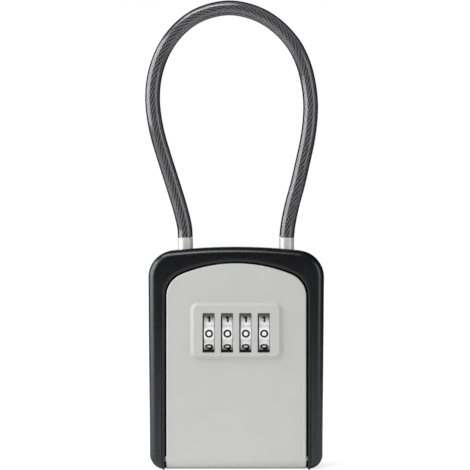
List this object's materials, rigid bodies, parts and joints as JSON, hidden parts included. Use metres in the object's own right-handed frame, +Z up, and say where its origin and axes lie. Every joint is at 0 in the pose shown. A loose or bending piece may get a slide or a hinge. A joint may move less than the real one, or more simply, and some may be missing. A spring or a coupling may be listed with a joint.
{
  "type": "combination key safe",
  "caption": "Small key safe with number dials on a grey drop-down front, a black body and a lockable coated wire-rope loop on top.",
  "frame": {"origin": "centre of the object's footprint without its cable, on the surface that it stands on", "axes": "+Z up along the height, +Y from the front with the dials to the back, +X to the right seen from the front"},
  "size_m": [0.0944, 0.0406, 0.2475],
  "materials": {
    "body_black": "satin black coating on die-cast zinc",
    "case_black": "fine moulded texture",
    "front_grey": "fine satin grey coating on die-cast zinc",
    "dial_white": "smooth white with black printed numbers",
    "lock_plastic": "fine moulded texture",
    "zinc_steel": "zinc-plated",
    "bright_steel": "bright drawn",
    "spring_wire": "drawn spring wire",
    "nickel": "bright nickel plating",
    "brass": "turned brass",
    "coated_wire_rope": "smoky clear plastic over twisted steel wires",
    "lever_orange": "smooth moulded"
  },
  "bodies": {
    "body": {"outer_shell": "body_black", "body_case": "case_black", "shell_screws": "zinc_steel", "hinge_pin": "bright_steel", "lock_bar_spring": "spring_wire"},
    "door": {"door_panel": "front_grey", "lock_frame": "lock_plastic", "lock_cover": "lock_plastic", "cover_screws": "zinc_steel", "detent_spring": "spring_wire", "latch_spring_left": "spring_wire", "latch_spring_right": "spring_wire", "shaft_spring": "spring_wire"},
    "latch": {"latch_slide": "zinc_steel"},
    "button": {"release_button": "case_black", "button_clip": "zinc_steel"},
    "reset_lever": {"reset_lever": "lever_orange"},
    "shaft": {"dial_shaft": "bright_steel", "shaft_clips": "spring_wire"},
    "lock_bar": {"cable_lock_bar": "zinc_steel"},
    "cable_loop": {"cable": "coated_wire_rope", "ferrule_left": "nickel", "ferrule_right": "nickel"},
    "dial_1": {"dial_1": "dial_white"},
    "tumbler_1": {"tumbler_1": "brass"},
    "dial_2": {"dial_2": "dial_white"},
    "tumbler_2": {"tumbler_2": "brass"},
    "dial_3": {"dial_3": "dial_white"},
    "tumbler_3": {"tumbler_3": "brass"},
    "dial_4": {"dial_4": "dial_white"},
    "tumbler_4": {"tumbler_4": "brass"}
  },
  "joints": [
    {"name": "door_hinge", "type": "hinge", "parent": "body", "child": "door", "pos_m": [0, -0.0137, 0.0053], "axis": [1, 0, 0], "range_deg": [0, 88]},
    {"name": "button_push", "type": "slide", "parent": "body", "child": "button", "axis": [1, 0, 0], "range_m": [-0.004, 0], "stiffness_N_per_m": 250, "springref_m": 0.003},
    {"name": "latch_slide", "type": "slide", "parent": "door", "child": "latch", "axis": [0, 0, 1], "range_m": [-0.004, 0], "deforming": ["latch_spring_left", "latch_spring_right"]},
    {"name": "reset_turn", "type": "hinge", "parent": "door", "child": "reset_lever", "pos_m": [-0.02444, -0.00745, 0.071], "axis": [0, 1, 0], "range_deg": [0, 90]},
    {"name": "shaft_shift", "type": "slide", "parent": "door", "child": "shaft", "axis": [1, 0, 0], "range_m": [0, 0.001], "deforming": ["shaft_spring"]},
    {"name": "lock_bar_slide", "type": "slide", "parent": "body", "child": "lock_bar", "axis": [-1, 0, 0], "range_m": [0, 0.007], "stiffness_N_per_m": 80, "springref_m": -0.004, "deforming": ["lock_bar_spring"]},
    {"name": "cable_lift", "type": "slide", "parent": "body", "child": "cable_loop", "axis": [0, 0, 1], "range_m": [0, 0.014]},
    {"name": "dial_1_spin", "type": "hinge", "parent": "door", "child": "dial_1", "pos_m": [-0.01419, -0.00745, 0.071], "axis": [1, 0, 0], "continuous": true},
    {"name": "tumbler_1_shift", "type": "slide", "parent": "dial_1", "child": "tumbler_1", "axis": [1, 0, 0], "range_m": [0, 0.001]},
    {"name": "dial_2_spin", "type": "hinge", "parent": "door", "child": "dial_2", "pos_m": [-0.00463, -0.00745, 0.071], "axis": [1, 0, 0], "continuous": true},
    {"name": "tumbler_2_shift", "type": "slide", "parent": "dial_2", "child": "tumbler_2", "axis": [1, 0, 0], "range_m": [0, 0.001]},
    {"name": "dial_3_spin", "type": "hinge", "parent": "door", "child": "dial_3", "pos_m": [0.00493, -0.00745, 0.071], "axis": [1, 0, 0], "continuous": true},
    {"name": "tumbler_3_shift", "type": "slide", "parent": "dial_3", "child": "tumbler_3", "axis": [1, 0, 0], "range_m": [0, 0.001]},
    {"name": "dial_4_spin", "type": "hinge", "parent": "door", "child": "dial_4", "pos_m": [0.01449, -0.00745, 0.071], "axis": [1, 0, 0], "continuous": true},
    {"name": "tumbler_4_shift", "type": "slide", "parent": "dial_4", "child": "tumbler_4", "axis": [1, 0, 0], "range_m": [0, 0.001]}
  ],
  "couplings": [
    {"joint": "latch_slide", "follows": "button_push", "ratio": 1},
    {"joint": "reset_turn", "follows": "shaft_shift", "rad_per_m": 1570.8},
    {"joint": "cable_lift", "follows": "lock_bar_slide", "ratio": 2},
    {"joint": "tumbler_1_shift", "follows": "shaft_shift", "ratio": 1},
    {"joint": "tumbler_2_shift", "follows": "shaft_shift", "ratio": 1},
    {"joint": "tumbler_3_shift", "follows": "shaft_shift", "ratio": 1},
    {"joint": "tumbler_4_shift", "follows": "shaft_shift", "ratio": 1}
  ]
}
